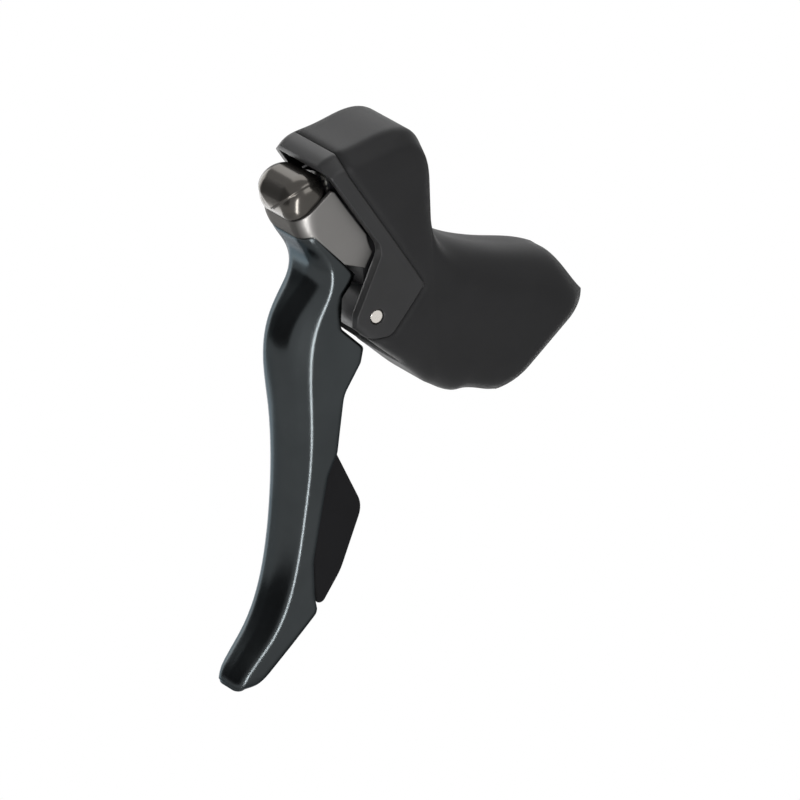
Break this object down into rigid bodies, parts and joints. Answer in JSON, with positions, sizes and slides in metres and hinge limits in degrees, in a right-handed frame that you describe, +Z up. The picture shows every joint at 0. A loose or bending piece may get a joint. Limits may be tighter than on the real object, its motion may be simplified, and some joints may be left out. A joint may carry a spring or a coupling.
{
  "type": "road brake shift lever",
  "caption": "Left-hand road bike brake and shift lever: rubber-covered bracket with a handlebar clamp, a curved blade that pulls the brake and swings in to shift, and a small release paddle.",
  "frame": {"origin": "centre of the handlebar clamp, on the bar's axis", "axes": "+Z up, +Y to the rear, +X to the rider's left, which is the outer side; the lever points forward along -Y"},
  "size_m": [0.0344, 0.1235, 0.1763],
  "materials": {
    "bracket_resin": "satin black glass-filled resin",
    "hood_rubber": "matte black moulded rubber",
    "stainless_band": "brushed stainless strip",
    "zinc_steel": "zinc plated steel",
    "turned_steel": "turned stainless steel",
    "spring_steel": "drawn spring wire",
    "cast_aluminium": "grey die casting",
    "bush_resin": "dark bearing resin",
    "hook_steel": "nickel plated steel",
    "blade_lacquer": "gloss dark grey lacquer on aluminium",
    "nose_gloss": "gloss gunmetal resin",
    "plate_satin": "satin warm grey plate",
    "paddle_resin": "matte black resin",
    "reel_resin": "pale bearing resin",
    "hard_steel": "hardened steel"
  },
  "bodies": {
    "bracket": {"bracket": "bracket_resin", "hood_cover": "hood_rubber", "clamp_band": "stainless_band", "clamp_bolt": "zinc_steel", "clamp_nut": "zinc_steel", "lever_axle": "turned_steel", "brake_return_spring": "spring_steel"},
    "brake_lever": {"lever_base": "cast_aluminium", "axle_bush_outer": "bush_resin", "axle_bush_inner": "bush_resin", "shift_axle": "turned_steel", "axle_nut": "zinc_steel", "stop_pawl_pin": "turned_steel"},
    "cable_hook": {"brake_cable_hook": "hook_steel"},
    "main_lever": {"lever_blade": "blade_lacquer", "nose_cap": "nose_gloss", "name_plate": "plate_satin", "feed_pawl_pin": "turned_steel", "paddle_pivot_pin": "turned_steel"},
    "release_paddle": {"shift_paddle": "paddle_resin"},
    "reel": {"cable_reel": "reel_resin", "ratchet_wheel": "hard_steel"},
    "stop_pawl": {"stop_pawl": "hard_steel"},
    "feed_pawl": {"feed_pawl": "hard_steel"}
  },
  "joints": [
    {"name": "brake_pull", "type": "hinge", "parent": "bracket", "child": "brake_lever", "pos_m": [0, -0.059, 0.021], "axis": [1, 0, 0], "range_deg": [0, 28], "stiffness_Nm_per_rad": 0.3, "springref_deg": -20.05},
    {"name": "hook_swivel", "type": "hinge", "parent": "brake_lever", "child": "cable_hook", "pos_m": [-0.0088, -0.0555, 0.034], "axis": [1, 0, 0], "range_deg": [-30, 6]},
    {"name": "lever_swing", "type": "hinge", "parent": "brake_lever", "child": "main_lever", "pos_m": [0, -0.0785, 0.06], "axis": [0, 0.9397, -0.342], "range_deg": [0, 20], "stiffness_Nm_per_rad": 0.2, "springref_deg": -17.19},
    {"name": "reel_wind", "type": "hinge", "parent": "brake_lever", "child": "reel", "pos_m": [0, -0.06722, 0.0559], "axis": [0, 0.9397, -0.342], "range_deg": [0, 20]},
    {"name": "stop_pawl_lift", "type": "hinge", "parent": "brake_lever", "child": "stop_pawl", "pos_m": [-0.00555, -0.07047, 0.06364], "axis": [0, -0.9397, 0.342], "range_deg": [0, 12]},
    {"name": "feed_pawl_lift", "type": "hinge", "parent": "main_lever", "child": "feed_pawl", "pos_m": [0.00555, -0.07469, 0.05205], "axis": [0, -0.9397, 0.342], "range_deg": [0, 12], "stiffness_Nm_per_rad": 0.002, "springref_deg": -11.46},
    {"name": "paddle_swing", "type": "hinge", "parent": "main_lever", "child": "release_paddle", "pos_m": [0, -0.07015, 0.0344], "axis": [0, 0.9397, -0.342], "range_deg": [0, 12], "stiffness_Nm_per_rad": 0.06, "springref_deg": -17.19}
  ],
  "couplings": [
    {"joint": "reel_wind", "follows": "lever_swing", "ratio": 1},
    {"joint": "stop_pawl_lift", "follows": "lever_swing", "ratio": 0.6}
  ]
}
